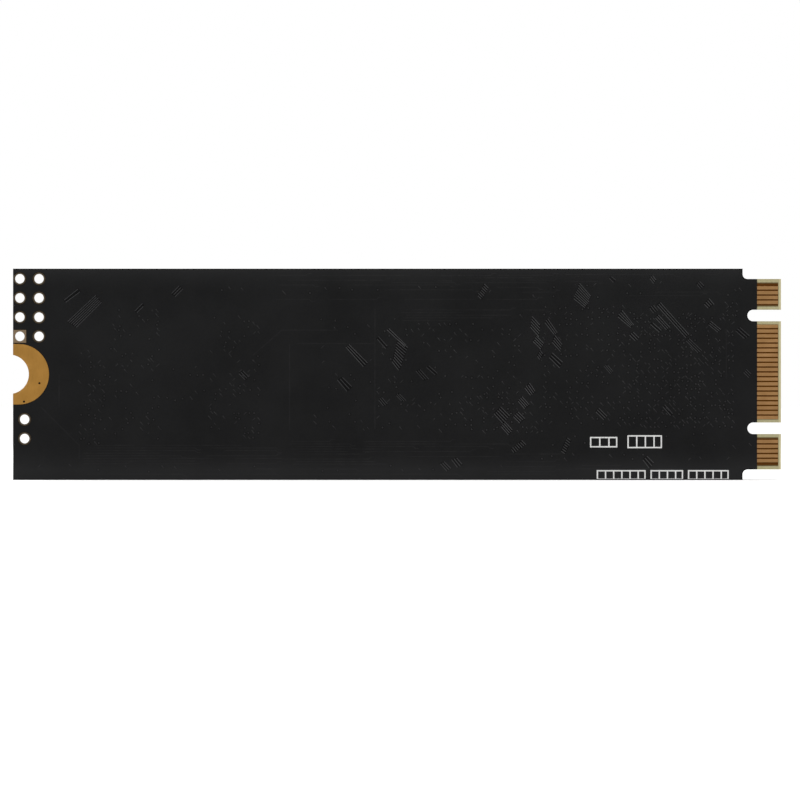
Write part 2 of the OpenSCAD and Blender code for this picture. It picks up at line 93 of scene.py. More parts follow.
card_low, card_high = box_mm("pcb_laminate")
mask_low, mask_high = box_mm("solder_mask_bare_side")
MASK_Y = -mask_low.y
MASK_EDGE_X = mask_high.x
bare_contacts = islands("edge_contacts_bare_side")
far_contacts = islands("edge_contacts_component_side")
CONTACT_END_X = bare_contacts[0][1].x
CONTACT_BANDS = grouped(bare_contacts + far_contacts, gap=0.8)
PACKAGES = [box_mm(name) for name in ("flash_1_mould", "flash_2_mould", "controller_mould")]
ROW_WEIGHT = 10
# The hole with the square pad is the outer one of the lowest row
SQUARE_PAD = min(islands("service_hole_barrels"), key=lambda box: box[0].x + ROW_WEIGHT * box[0].z)


# ---- Procedural materials ----


class Look:
    """One material. Patterns have sizes in millimetres in the object's own frame."""

    SOCKETS = {
        "metallic": "Metallic",
        "ior": "IOR",
        "specular": "Specular IOR Level",
        "coat": "Coat Weight",
        "coat_roughness": "Coat Roughness",
        "transmission": "Transmission Weight",
    }
    # Where a Mix node has its colours among its sockets
    MIX_COLOUR_A, MIX_COLOUR_B, MIX_COLOUR_OUT = 6, 7, 2
    # A Wave Texture's phase for each unit of its scale and place
    WAVE_PHASE = 20

    def __init__(self, name, **fixed):
        self.material = bpy.data.materials.new(name)
        self.material.use_nodes = True
        self.tree = self.material.node_tree
        self.shader = self.tree.nodes["Principled BSDF"]
        for key, value in fixed.items():
            self.shader.inputs[self.SOCKETS[key]].default_value = value
        self.place = self.node("TexCoord").outputs["Object"]

    def node(self, kind, inputs=None, **settings):
        made = self.tree.nodes.new("ShaderNode" + kind)
        for key, value in settings.items():
            setattr(made, key, value)
        for key, value in (inputs or {}).items():
            self.join(made.inputs[key], value)
        return made

    def join(self, socket, value):
        if isinstance(value, bpy.types.NodeSocket):
            self.tree.links.new(value, socket)
        else:
            socket.default_value = value

    def stretched(self, stretch):
        if stretch == (1, 1, 1):
            return self.place
        return self.node("VectorMath", {0: self.place, 1: stretch}, operation="MULTIPLY").outputs[0]

    def noise(self, size, detail=2.0, roughness=0.5, stretch=(1, 1, 1)):
        inputs = {"Vector": self.stretched(stretch), "Scale": 1 / (size * MM), "Detail": detail}
        return self.node("TexNoise", {**inputs, "Roughness": roughness}).outputs[0]

    def cells(self, size):
        inputs = {"Vector": self.place, "Scale": 1 / (size * MM)}
        return self.node("TexVoronoi", inputs).outputs["Distance"]

    def bands(self, period, axis, distortion):
        """Wavy bands across an axis, one in every period."""
        scale = 2 * math.pi / self.WAVE_PHASE / (period * MM)
        inputs = {"Vector": self.place, "Scale": scale, "Distortion": distortion, "Detail": 1.0}
        return self.node("TexWave", inputs, bands_direction=axis).outputs["Fac"]

    def cloth(self, x_period, z_period, distortion):
        """The crossings of glass cloth."""
        warp = self.bands(x_period, "X", distortion)
        return self.calc("MULTIPLY", warp, self.bands(z_period, "Z", distortion))

    def axes(self):
        """The place on each axis, in millimetres."""
        scaled = self.node("VectorMath", {0: self.place, "Scale": 1 / MM}, operation="SCALE").outputs[0]
        return tuple(self.node("SeparateXYZ", {0: scaled}).outputs)

    def facing(self, axis):
        """1 where the surface faces along an axis, either way, and 0 where it is a side."""
        normal = self.node("NewGeometry").outputs["True Normal"]
        part = self.node("SeparateXYZ", {0: normal}).outputs["XYZ".index(axis)]
        return self.ranged(self.calc("ABSOLUTE", part), 0.60, 0.70)

    def edges(self, radius):
        """1 on the sharp edges of the mesh and 0 elsewhere."""
        soft = self.node("Bevel", {"Radius": radius * MM}, samples=6).outputs[0]
        flat = self.node("NewGeometry").outputs["Normal"]
        same = self.node("VectorMath", {0: soft, 1: flat}, operation="DOT_PRODUCT").outputs["Value"]
        return self.ranged(same, 0.99, 0.86)

    def calc(self, operation, a, b=0.0):
        return self.node("Math", {0: a, 1: b}, operation=operation).outputs[0]

    def ranged(self, value, low, high, to_low=0.0, to_high=1.0):
        inputs = {"Value": value, "From Min": low, "From Max": high, "To Min": to_low, "To Max": to_high}
        return self.node("MapRange", inputs).outputs[0]

    def within(self, value, low, high, soft):
        """1 between low and high, with soft ends."""
        rise = self.ranged(value, low - soft, low + soft)
        fall = self.ranged(value, high - soft, high + soft, 1.0, 0.0)
        return self.calc("MULTIPLY", rise, fall)

    def blend(self, factor, a, b):
        made = self.node("Mix", {0: factor}, data_type="RGBA")
        self.join(made.inputs[self.MIX_COLOUR_A], (*a, 1.0) if isinstance(a, tuple) else a)
        self.join(made.inputs[self.MIX_COLOUR_B], (*b, 1.0) if isinstance(b, tuple) else b)
        return made.outputs[self.MIX_COLOUR_OUT]

    def worn_edges(self, colour, worn, radius, patches, strength):
        """A colour that goes towards another one on the edges, where a pattern from 0 to 1 lets it."""
        wear = self.calc("MULTIPLY", self.edges(radius), patches)
        return self.blend(self.calc("MULTIPLY", wear, strength), colour, worn)

    def colour(self, value):
        self.join(self.shader.inputs["Base Color"], value)

    def roughness(self, pattern, low, high):
        """The roughness goes from low to high as a pattern goes over its usual range."""
        self.join(self.shader.inputs["Roughness"], self.ranged(pattern, 0.3, 0.7, low, high))

    def bump(self, *layers):
        """Each layer is a pattern and its depth in millimetres."""
        normal = None
        for pattern, depth in layers:
            made = self.node("Bump", {"Height": pattern, "Distance": depth * MM, "Strength": 1.0})
            if normal is not None:
                self.tree.links.new(normal, made.inputs["Normal"])
            normal = made.outputs[0]
        self.tree.links.new(normal, self.shader.inputs["Normal"])


# How far past the contacts' copper the laminate gets painted shade, where the far side's copper would block
# light through it: at the card's long edges, and at the notches
BROWN_REACH = (0.02, -0.12)
OLIVE_REACH = (0.14, 0.02)
SHADE_SOFTNESS = 0.05


def copper_shade_band(look, z, edge_reach, notch_reach):
    """1 between and beside the contacts, where shade is painted on the laminate, over a height that reaches
    past each group of them.
    """
    marks = 0.0
    for low, high in CONTACT_BANDS:
        below = edge_reach if low == CONTACT_BANDS[0][0] else notch_reach
        above = edge_reach if high == CONTACT_BANDS[-1][1] else notch_reach
        group = look.within(z, low - below, high + above, SHADE_SOFTNESS)
        marks = look.calc("MAXIMUM", marks, group)
    return marks


def laminate_look():
    """Glass-epoxy: pale where it is bare, with painted shade in brown over the far side's copper and olive
    beside it, and plies on its cut sides.
    """
    look = Look("laminate_glass_epoxy", ior=1.5, specular=0.06)
    x, _, z = look.axes()
    cloth = look.cloth(0.48, 0.52, distortion=1.5)
    cloud = look.noise(0.9, detail=3)
    pale = look.blend(cloud, (0.292, 0.262, 0.141), (0.352, 0.322, 0.191))
    pale = look.blend(look.calc("MULTIPLY", cloth, 0.35), pale, (0.38, 0.355, 0.23))
    cut = look.blend(cloud, (0.405, 0.355, 0.198), (0.495, 0.450, 0.273))
    pale = look.blend(look.ranged(x, CONTACT_END_X + 0.05, CONTACT_END_X + 0.15), pale, cut)
    grain = look.noise(0.35, stretch=(0.3, 1, 1))
    # Painted shade: brown where the far side's copper blocks the light through the laminate, olive beside it
    brown = look.blend(grain, (0.055, 0.016, 0.0005), (0.088, 0.030, 0.002))
    olive = look.blend(grain, (0.070, 0.042, 0.014), (0.098, 0.066, 0.024))
    behind_contacts = look.ranged(x, CONTACT_END_X, CONTACT_END_X + 0.06, 1.0, 0.0)
    beside = look.calc("MULTIPLY", copper_shade_band(look, z, *OLIVE_REACH), behind_contacts)
    under = look.calc("MULTIPLY", copper_shade_band(look, z, *BROWN_REACH), behind_contacts)
    shaded = look.blend(under, look.blend(beside, pale, olive), brown)
    # Near black where the mask covers the laminate, which paints a thin line of shade along the mask's edge
    rim = look.blend(cloud, (0.003, 0.003, 0.003), (0.007, 0.006, 0.005))
    tongue = look.ranged(x, MASK_EDGE_X - 0.03, MASK_EDGE_X + 0.03)
    face = look.blend(tongue, rim, shaded)
    ply = look.ranged(look.bands(0.175, "Y", 0.6), 0.35, 0.75)
    fibres = look.noise(0.12, detail=3, stretch=(0.15, 1, 0.15))
    side = look.blend(fibres, (0.16, 0.105, 0.040), (0.34, 0.25, 0.115))
    side = look.blend(look.calc("MULTIPLY", ply, 0.6), side, (0.075, 0.045, 0.018))
    look.colour(look.blend(look.facing("Y"), side, face))
    look.roughness(cloud, 0.42, 0.62)
    look.bump((cloth, 0.003), (fibres, 0.006))
    return look.material


def mask_look(name, dark, light, specular):
    """Satin black solder mask, faintly uneven over the cloth, with painted light that makes it paler along
    the card's long edges.
    """
    look = Look(name, ior=1.5, specular=specular)
    cloud = look.noise(7.0, detail=4, roughness=0.6)
    grain = look.noise(0.16, detail=2)
    peel = look.noise(0.9, detail=1)
    cloth = look.cloth(0.47, 0.53, distortion=2.0)
    tone = look.calc("ADD", look.calc("MULTIPLY", cloud, 0.75), look.calc("MULTIPLY", grain, 0.25))
    colour = look.blend(look.ranged(tone, 0.38, 0.62), dark, light)
    # Painted light: the mask turns paler towards the card's long edges
    z = look.axes()[2]
    height = look.calc("MAXIMUM", z, look.calc("SUBTRACT", 1.0, z))
    painted_edge_light = look.calc("POWER", look.ranged(height, 8.3, 10.9), 2.0)
    colour = look.blend(look.calc("MULTIPLY", painted_edge_light, 0.18), colour, (0.035, 0.035, 0.036))
    patches = look.ranged(peel, 0.45, 0.65)
    look.colour(look.worn_edges(colour, (0.035, 0.034, 0.033), 0.03, patches, 0.4))
    look.roughness(cloud, 0.40, 0.52)
    look.bump((peel, 0.0025), (cloth, 0.0010), (grain, 0.0006))
    return look.material


def gold_look(name, deep, bright, scuff_axis):
    """Immersion gold: a soft grain and fine scuffs along one axis, duller at its edges. Gives the Look."""
    look = Look(name, metallic=1.0)
    along = tuple(0.04 if axis == scuff_axis else 1.0 for axis in "XYZ")
    scuffs = look.noise(0.05, detail=3, roughness=0.6, stretch=along)
    cloud = look.noise(1.6, detail=3)
    grain = look.noise(0.06, detail=2)
    colour = look.blend(look.ranged(cloud, 0.3, 0.7), deep, bright)
    colour = look.blend(look.ranged(scuffs, 0.56, 0.70, 0.0, 0.35), colour, tuple(c * 0.7 for c in deep))
    dull = look.calc("MULTIPLY", look.edges(0.03), 0.5)
    look.colour(look.blend(dull, colour, tuple(c * 0.5 for c in deep)))
    mean = look.calc("MULTIPLY", look.calc("ADD", scuffs, cloud), 0.5)
    look.roughness(mean, 0.30, 0.46)
    look.bump((grain, 0.0010), (scuffs, 0.0008))
    return look


def barrel_look():
    """Plating of the holes: dark where the mask has crept over a ring, and dull gold on the square pad."""
    look = gold_look("gold_hole_plating", (0.072, 0.054, 0.034), (0.098, 0.076, 0.049), "X")
    x, _, z = look.axes()
    low, high = SQUARE_PAD
    square = look.calc("MULTIPLY", look.within(x, low.x, high.x, 0.03), look.within(z, low.z, high.z, 0.03))
    dull = look.blend(look.noise(0.4, detail=3), (0.205, 0.145, 0.090), (0.27, 0.195, 0.120))
    ring = look.shader.inputs["Base Color"].links[0].from_socket
    look.colour(look.blend(square, ring, dull))
    return look.material


def print_look():
    """White ink, thin enough at its edges to let the mask through."""
    look = Look("print_ink", specular=0.2)
    spots = look.noise(0.09, detail=3)
    cloud = look.noise(0.6)
    ink = look.blend(cloud, (0.50, 0.50, 0.49), (0.66, 0.66, 0.65))
    look.colour(look.blend(look.ranged(spots, 0.58, 0.72, 0.0, 0.6), ink, (0.20, 0.20, 0.20)))
    look.roughness(spots, 0.60, 0.80)
    look.bump((spots, 0.003))
    return look.material


def metal_look(name, dark, light, size, rough, depth, stretch=(1, 1, 1)):
    """Plain metal with a mottled surface and brighter worn edges."""
    look = Look(name, metallic=1.0)
    mottle = look.noise(size, detail=4, roughness=0.6, stretch=stretch)
    fine = look.noise(size / 5, detail=2)
    colour = look.blend(look.ranged(mottle, 0.3, 0.7), dark, light)
    look.colour(look.blend(look.edges(0.04), colour, tuple(min(1.0, c * 1.15) for c in light)))
    look.roughness(mottle, *rough)
    look.bump((mottle, depth), (fine, depth * 0.4))
    return look.material


# Laser marks of the packages, in millimetres: a cell of a bar, the rows' pitch, half the block's length and
# height, the soft edges, and the pin-one dot's place and radius
ETCH_CELL = 0.22
ETCH_ROW = 1.2
ETCH_HALF_LENGTH = 3.0
ETCH_HALF_HEIGHT = 1.5 * ETCH_ROW
ETCH_SOFTNESS = 0.02
PIN_ONE_IN = 1.1
PIN_ONE_R = 0.35
# Enough whole rows to make every height in the card's frame positive
ROWS_UP = 100


def etched(look, packages):
    """1 on the laser marks of package tops: a dot at pin one and, for lettering, rows of random bars."""
    x, _, z = look.axes()
    place = look.node("CombineXYZ", {0: x, 2: z}).outputs[0]
    cell = (ETCH_CELL, 1.0, ETCH_ROW)
    snapped = look.node("VectorMath", {0: place, 1: cell}, operation="SNAP").outputs[0]
    bars = look.ranged(look.node("TexWhiteNoise", {"Vector": snapped}).outputs["Value"], 0.44, 0.46)
    raised = look.calc("ADD", z, ROWS_UP * ETCH_ROW)
    height_in_row = look.calc("FRACT", look.calc("DIVIDE", raised, ETCH_ROW))
    bars = look.calc("MULTIPLY", bars, look.within(height_in_row, 0.25, 0.75, ETCH_SOFTNESS))
    marks = 0.0
    for low, high in packages:
        middle = (low + high) / 2
        row = round(middle.z / ETCH_ROW) * ETCH_ROW
        along = look.within(x, middle.x - ETCH_HALF_LENGTH, middle.x + ETCH_HALF_LENGTH, ETCH_SOFTNESS)
        across = look.within(z, row - ETCH_HALF_HEIGHT, row + ETCH_HALF_HEIGHT, ETCH_SOFTNESS)
        block = look.calc("MULTIPLY", along, across)
        corner = (low.x + PIN_ONE_IN, 0.0, high.z - PIN_ONE_IN)
        reach = look.node("VectorMath", {0: place, 1: corner}, operation="DISTANCE").outputs["Value"]
        dot = look.ranged(reach, PIN_ONE_R - 0.03, PIN_ONE_R + 0.03, 1.0, 0.0)
        marks = look.calc("MAXIMUM", marks, look.calc("MAXIMUM", dot, look.calc("MULTIPLY", block, bars)))
    return look.calc("MULTIPLY", marks, look.facing("Y"))


def mould_look(name, dark, light, grit, rough, packages=()):
    """Epoxy moulding compound: black with pale filler specks, matt on top and worn paler at its edges."""
    look = Look(name, ior=1.52, specular=0.42)
    specks = look.cells(grit)
    cloud = look.noise(2.5, detail=4, roughness=0.6)
    sand = look.noise(0.08, detail=3, roughness=0.7)
    colour = look.blend(look.ranged(cloud, 0.2, 0.8), dark, light)
    colour = look.blend(look.ranged(specks, 0.16, 0.06, 0.0, 0.25), colour, (0.10, 0.10, 0.10))
    colour = look.worn_edges(colour, (0.085, 0.083, 0.080), 0.07, look.ranged(cloud, 0.35, 0.6), 0.5)
    if packages:
        marks = etched(look, packages)
        colour = look.blend(look.calc("MULTIPLY", marks, 0.8), colour, (0.115, 0.112, 0.105))
        sand = look.calc("ADD", sand, look.calc("MULTIPLY", marks, 0.15))
    look.colour(colour)
    look.roughness(sand, *rough)
    look.bump((sand, 0.006), (specks, 0.002))
    return look.material


def substrate_look():
    """Package substrate: dark resin with its cut cloth on the sides."""
    look = Look("package_substrate", ior=1.5)
    plies = look.bands(0.066, "Y", 0.5)
    fibres = look.noise(0.10, detail=3, stretch=(0.3, 1, 0.3))
    side = look.blend(fibres, (0.018, 0.050, 0.026), (0.045, 0.105, 0.055))
    side = look.blend(look.ranged(plies, 0.55, 0.85, 0.0, 0.6), side, (0.15, 0.11, 0.05))
    look.colour(look.blend(look.facing("Y"), side, (0.012, 0.035, 0.018)))
    look.roughness(fibres, 0.45, 0.65)
    look.bump((fibres, 0.004))
    return look.material


def ceramic_look(name, dark, light, grain_size, rough, specular=0.4):
    """Fired ceramic with a fine grain and faint layers."""
    look = Look(name, ior=1.6, specular=specular)
    grain = look.noise(grain_size, detail=4, roughness=0.65)
    cloud = look.noise(0.7, detail=2)
    colour = look.blend(look.ranged(cloud, 0.3, 0.7), dark, light)
    look.colour(look.blend(look.ranged(grain, 0.58, 0.75, 0.0, 0.5), colour, tuple(c * 0.6 for c in dark)))
    look.roughness(grain, *rough)
    look.bump((grain, 0.004))
    return look.material


def ferrite_look():
    """Pressed metal powder under a thin clear coat."""
    look = Look("inductor_powder_core", ior=1.5, specular=0.4, coat=0.15, coat_roughness=0.35)
    powder = look.cells(0.09)
    cloud = look.noise(0.8, detail=4)
    colour = look.blend(look.ranged(cloud, 0.3, 0.7), (0.050, 0.050, 0.052), (0.095, 0.095, 0.098))
    colour = look.blend(look.ranged(powder, 0.10, 0.45, 0.5, 0.0), colour, (0.20, 0.20, 0.20))
    look.colour(look.worn_edges(colour, (0.22, 0.22, 0.22), 0.08, look.ranged(cloud, 0.4, 0.6), 0.5))
    look.roughness(powder, 0.55, 0.75)
    look.bump((powder, 0.008), (cloud, 0.006))
    return look.material


def quartz_look():
    """Polished quartz with faint bands."""
    look = Look("quartz_blank", ior=1.54, transmission=0.6)
    haze = look.noise(0.5, detail=3)
    look.colour(look.blend(haze, (0.75, 0.80, 0.84), (0.88, 0.91, 0.93)))
    look.roughness(haze, 0.05, 0.16)
    look.bump((haze, 0.0005))
    return look.material


def floor_look():
    """Plain pale paper."""
    look = Look("studio_floor", specular=0.1)
    cloud = look.noise(400, detail=2)
    look.colour(look.blend(cloud, (0.92, 0.92, 0.92), (0.94, 0.94, 0.94)))
    look.roughness(cloud, 0.85, 0.95)
    return look.material


# The mask's tone over what lies under it: its darkest and palest colour, and its specular level. The raised
# tracks and vias are paler partly from the copper under them and partly as painted highlight; the darkest
# tone is painted shade.
MASK_BLACK = mask_look(
    "solder_mask_black", (0.0030, 0.0031, 0.0033), (0.0052, 0.0053, 0.0055), 0.125)
TRACK_MASK_PAINTED_HIGHLIGHT = mask_look(
    "solder_mask_over_tracks_painted_highlight", (0.0265, 0.0265, 0.0272), (0.043, 0.043, 0.044), 0.20)
DIM_TRACK_MASK_PAINTED_HIGHLIGHT = mask_look(
    "solder_mask_over_dim_tracks_painted_highlight", (0.019, 0.019, 0.020), (0.031, 0.031, 0.032), 0.18)
DEEP_TRACK_MASK_PAINTED_HIGHLIGHT = mask_look(
    "solder_mask_over_deep_tracks_painted_highlight", (0.0054, 0.0054, 0.0057), (0.0078, 0.0078, 0.0081), 0.125)
VIA_MASK_PAINTED_HIGHLIGHT = mask_look(
    "solder_mask_over_vias_painted_highlight", (0.0102, 0.0102, 0.0106), (0.0172, 0.0172, 0.0177), 0.15)
DEEP_VIA_MASK_PAINTED_HIGHLIGHT = mask_look(
    "solder_mask_over_deep_vias_painted_highlight", (0.0088, 0.0088, 0.0092), (0.0140, 0.0140, 0.0145), 0.14)
# Near black: painted shade on the low mask over bare laminate, and the resin of the drill mark plugs
SHADE_AND_PLUG_BLACK = mask_look(
    "solder_mask_painted_shade_and_plug_resin", (0.0012, 0.0012, 0.0013), (0.0022, 0.0022, 0.0023), 0.085)
GOLD_PAD = gold_look("gold_ground_pad", (0.385, 0.197, 0.044), (0.455, 0.236, 0.056), "Z").material
GOLD_CONTACT = gold_look("gold_contacts", (0.355, 0.192, 0.074), (0.415, 0.232, 0.096), "X").material
SOLDER = metal_look(
    "solder", (0.50, 0.51, 0.52), (0.68, 0.69, 0.70), size=0.25, rough=(0.24, 0.40), depth=0.006)
TIN = metal_look(
    "tin_plate", (0.52, 0.51, 0.49), (0.70, 0.69, 0.66), size=0.16, rough=(0.30, 0.48), depth=0.004)
COPPER = metal_look(
    "copper_foil", (0.60, 0.28, 0.14), (0.78, 0.42, 0.24), size=0.4, rough=(0.30, 0.45), depth=0.002)
SILICON = metal_look(
    "silicon_die", (0.16, 0.17, 0.20), (0.24, 0.26, 0.30), size=0.8, rough=(0.12, 0.24), depth=0.001)
LID = metal_look(
    "crystal_lid_plate", (0.44, 0.42, 0.38), (0.60, 0.58, 0.53), size=0.30, rough=(0.26, 0.40), depth=0.003,
    stretch=(0.15, 1, 1))
MOULD = mould_look(
    "moulding_compound", (0.012, 0.012, 0.013), (0.020, 0.020, 0.021), grit=0.16, rough=(0.46, 0.62),
    packages=PACKAGES)
COAT = mould_look(
    "resistor_overcoat", (0.012, 0.012, 0.014), (0.018, 0.018, 0.021), grit=0.20, rough=(0.22, 0.36))
CERAMIC = ceramic_look("alumina", (0.66, 0.66, 0.63), (0.78, 0.78, 0.76), grain_size=0.05, rough=(0.50, 0.70))
CAPACITOR = ceramic_look(
    "capacitor_dielectric", (0.27, 0.165, 0.085), (0.37, 0.24, 0.13), grain_size=0.04, rough=(0.32, 0.50))
BARREL = barrel_look()

FINISHES = {
    "laminate": laminate_look(), "mask": MASK_BLACK, "gold": GOLD_CONTACT, "copper": COPPER,
    "print": print_look(), "solder": SOLDER, "substrate": substrate_look(), "mould": MOULD,
    "silicon": SILICON, "tin": TIN, "capacitor": CAPACITOR, "ceramic": CERAMIC,
    "ferrite": ferrite_look(), "quartz": quartz_look(), "lid": LID, "coat": COAT,
}
SPECIAL_FINISHES = {
    "screw_pad_bare_side": GOLD_PAD,
    "screw_pad_component_side": GOLD_PAD,
    "service_hole_barrels": BARREL,
    "jumper_hole_barrels": BARREL,
}

# Width of the rounded edge of each kind of CAD node, in millimetres
ROUNDED = {
    "_mould": 0.06, "_substrate": 0.02, "_terminals": 0.03, "_leads": 0.03,
    "capacitor_bodies": 0.025, "resistor_bodies": 0.02, "resistor_coats": 0.01, "fuse_body": 0.03,
    "inductor_cores": 0.10, "power_chip_body": 0.03, "regulator_body": 0.04,
    "crystal_base": 0.05, "crystal_lid": 0.03, "edge_contacts": 0.008, "screw_pad": 0.008,
}
# Corners nearer than this count as one, in metres
SAME_CORNER = 1e-7
SHARP_ANGLE = 40


def round_edges(node, width):
    """Rounds a CAD node's sharp edges inwards, with modifiers alone."""
    weld = node.modifiers.new("join_corners", "WELD")
    weld.merge_threshold = SAME_CORNER
    bevel = node.modifiers.new("round_edges", "BEVEL")
    bevel.width = width * MM
    bevel.segments = 2
    bevel.limit_method = "ANGLE"
    bevel.angle_limit = math.radians(SHARP_ANGLE)
    bevel.use_clamp_overlap = True
    bevel.harden_normals = True


def dress_cad_nodes():
    """Gives every CAD node its material and rounds the edges of the kinds in ROUNDED."""
    for name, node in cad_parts.items():
        slot = node.material_slots[0].material.name.split(".")[0]
        node.material_slots[0].material = SPECIAL_FINISHES.get(name, FINISHES[slot])
        for part, width in ROUNDED.items():
            if part in name:
                round_edges(node, width)
                break


# ---- Extra pieces ----


def circle(x, z, radius, sides):
    """The corners of a regular polygon, as (x, z)."""
    turns = [2 * math.pi * k / sides for k in range(sides)]
    return [(x + radius * math.cos(turn), z + radius * math.sin(turn)) for turn in turns]


class Shape:
    """A mesh in the making, in millimetres. Every solid put into it is closed."""

    def __init__(self):
        self.points = []
        self.faces = []

    def add_loft(self, rings):
        """Joins rings of equal length into one closed solid whose faces look outward."""
        start, count = len(self.points), len(rings[0])
        self.points += [Vector(point) for ring in rings for point in ring]
        faces = []
        for r in range(len(rings) - 1):
            for i in range(count):
                a = start + r * count + i
                b = start + r * count + (i + 1) % count
                faces.append((a, b, b + count, a + count))
        faces.append(tuple(range(start + count - 1, start - 1, -1)))
        last = start + (len(rings) - 1) * count
        faces.append(tuple(range(last, last + count)))
        self.faces += [face[::-1] for face in faces] if self.volume(faces) < 0 else faces

    def volume(self, faces):
        """Six times the volume inside the faces, negative where they look inward."""
        origin = self.points[faces[0][0]]
        total = 0
        for face in faces:
            first, *others = [self.points[i] - origin for i in face]
            total += sum(first.dot(p.cross(q)) for p, q in zip(others, others[1:]))
        return total

    def build(self, name, material, slot, smooth=True):
        mesh = bpy.data.meshes.new(name)
        mesh.from_pydata([point * MM for point in self.points], [], self.faces)
        mesh.materials.append(material)
        mesh.validate()
        piece = bpy.data.objects.new(name, mesh)
        bpy.context.scene.collection.objects.link(piece)
        if smooth:
            mesh.polygons.foreach_set("use_smooth", [len(f.vertices) == 4 for f in mesh.polygons])
        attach(piece, "root")
        return piece


# How deep the relief starts under the mask's surface
SINK = 0.003
# The section of a ridge from side to side: share of its half width, and of its height. None is its foot.
RIDGE_SECTION = ((-1.0, None), (-0.55, 0.75), (0.0, 1.0), (0.55, 0.75), (1.0, None))


def add_ridge(shape, side, path, heights, width):
    """A low ridge along a path of (x, z) points on one side of the card, with a height at each point."""
    rings = []
    for i, point in enumerate(path):
        before = path[max(i - 1, 0)]
        after = path[min(i + 1, len(path) - 1)]
        along = Vector((after[0] - before[0], after[1] - before[1])).normalized()
        across = Vector((-along.y, along.x)) * (width / 2)
        ring = []
        for reach, lift in RIDGE_SECTION:
            y = side * (MASK_Y + (-SINK if lift is None else heights[i] * lift))
            ring.append((point[0] + across.x * reach, y, point[1] + across.y * reach))
        rings.append(ring)
    shape.add_loft(rings)


# The profile of a tented via from its rim inwards: share of its radius, and share of its height
VIA_PROFILE = ((1.0, -0.3), (0.72, 0.9), (0.45, 1.0), (0.15, 0.3))
VIA_SIDES = 8
VIA_R = 0.115


def add_via(shape, side, x, z, height):
    """A tented via: a raised ring of mask with a dimple in the middle."""
    rings = []
    for reach, lift in VIA_PROFILE:
        y = side * (MASK_Y + height * lift)
        rings.append([(px, y, pz) for px, pz in circle(x, z, VIA_R * reach, VIA_SIDES)])
    shape.add_loft(rings)


# Patches of close tracks that show through the bare side's mask, in (x, z): where the first track starts and
# ends, and where the last one does. The first list shows clearly and the second hardly.
BARE_HATCHES = [
    ((-45.0, 3.1), (-43.1, 1.2), (-45.3, 2.8), (-43.5, 0.8)),
    ((-40.9, 4.8), (-39.0, 3.0), (-41.0, 4.6), (-39.2, 2.9)),
    ((-39.9, 3.6), (-38.9, 2.8), (-40.5, 1.3), (-39.8, 0.4)),
    ((-30.9, 9.4), (-30.5, 9.0), (-31.6, 8.2), (-31.2, 7.8)),
    ((-25.9, 6.0), (-25.1, 5.1), (-26.1, 4.9), (-25.2, 3.9)),
    ((-25.5, 4.0), (-24.7, 3.2), (-25.8, 3.4), (-25.0, 2.6)),
    ((-24.3, 5.8), (-23.3, 4.3), (-24.6, 5.4), (-23.6, 4.1)),
    ((-23.6, 4.1), (-22.8, 3.1), (-23.8, 3.3), (-23.0, 2.4)),
    ((-23.8, 2.2), (-22.8, 1.3), (-24.1, 1.7), (-23.1, 0.7)),
    ((-21.0, 9.5), (-19.8, 8.1), (-21.6, 7.9), (-20.4, 6.9)),
    ((-16.6, 6.7), (-15.4, 5.2), (-17.0, 6.0), (-15.7, 4.9)),
    ((-15.4, 4.4), (-14.8, 3.8), (-15.8, 4.1), (-15.2, 3.5)),
    ((-12.6, 7.5), (-9.6, 4.15), (-12.95, 7.2), (-9.95, 3.85)),
    ((-12.8, 6.2), (-11.6, 4.9), (-13.1, 5.9), (-11.9, 4.6)),
    ((-13.4, 5.4), (-12.5, 4.6), (-13.6, 5.2), (-12.7, 4.4)),
    ((-7.5, 7.9), (-7.0, 7.3), (-8.0, 7.3), (-7.6, 6.9)),
    ((-7.3, 5.5), (-6.2, 4.6), (-7.6, 5.2), (-6.6, 4.4)),
    ((-13.4, 10.3), (-13.0, 9.8), (-13.7, 10.0), (-13.3, 9.5)),
    ((-19.0, -3.5), (-18.1, -4.4), (-19.3, -3.9), (-18.5, -4.7)),
    ((-12.1, -3.2), (-11.3, -4.1), (-12.3, -3.4), (-11.5, -4.3)),
    ((-26.2, -0.9), (-25.6, -1.8), (-26.7, -1.4), (-26.1, -2.2)),
    ((-27.0, -2.3), (-26.2, -3.2), (-27.4, -2.8), (-26.7, -3.6)),
    ((-27.4, -3.9), (-26.7, -4.6), (-27.9, -4.4), (-27.2, -5.1)),
    ((-29.2, -3.4), (-28.3, -4.3), (-29.9, -4.1), (-29.0, -5.1)),
    ((-28.8, -4.9), (-28.0, -5.8), (-29.2, -5.4), (-28.4, -6.3)),
    ((-27.0, -6.9), (-26.6, -7.3), (-28.1, -7.8), (-27.8, -8.2)),
    ((-22.3, -6.6), (-21.9, -6.9), (-22.9, -8.0), (-22.5, -8.3)),
    ((-14.0, -8.5), (-13.3, -9.2), (-14.4, -8.9), (-13.7, -9.8)),
    ((-35.1, -9.1), (-34.4, -9.8), (-35.5, -9.3), (-34.8, -10.1)),
    ((-33.8, -8.7), (-33.2, -9.4), (-34.3, -8.9), (-33.7, -9.7)),
]
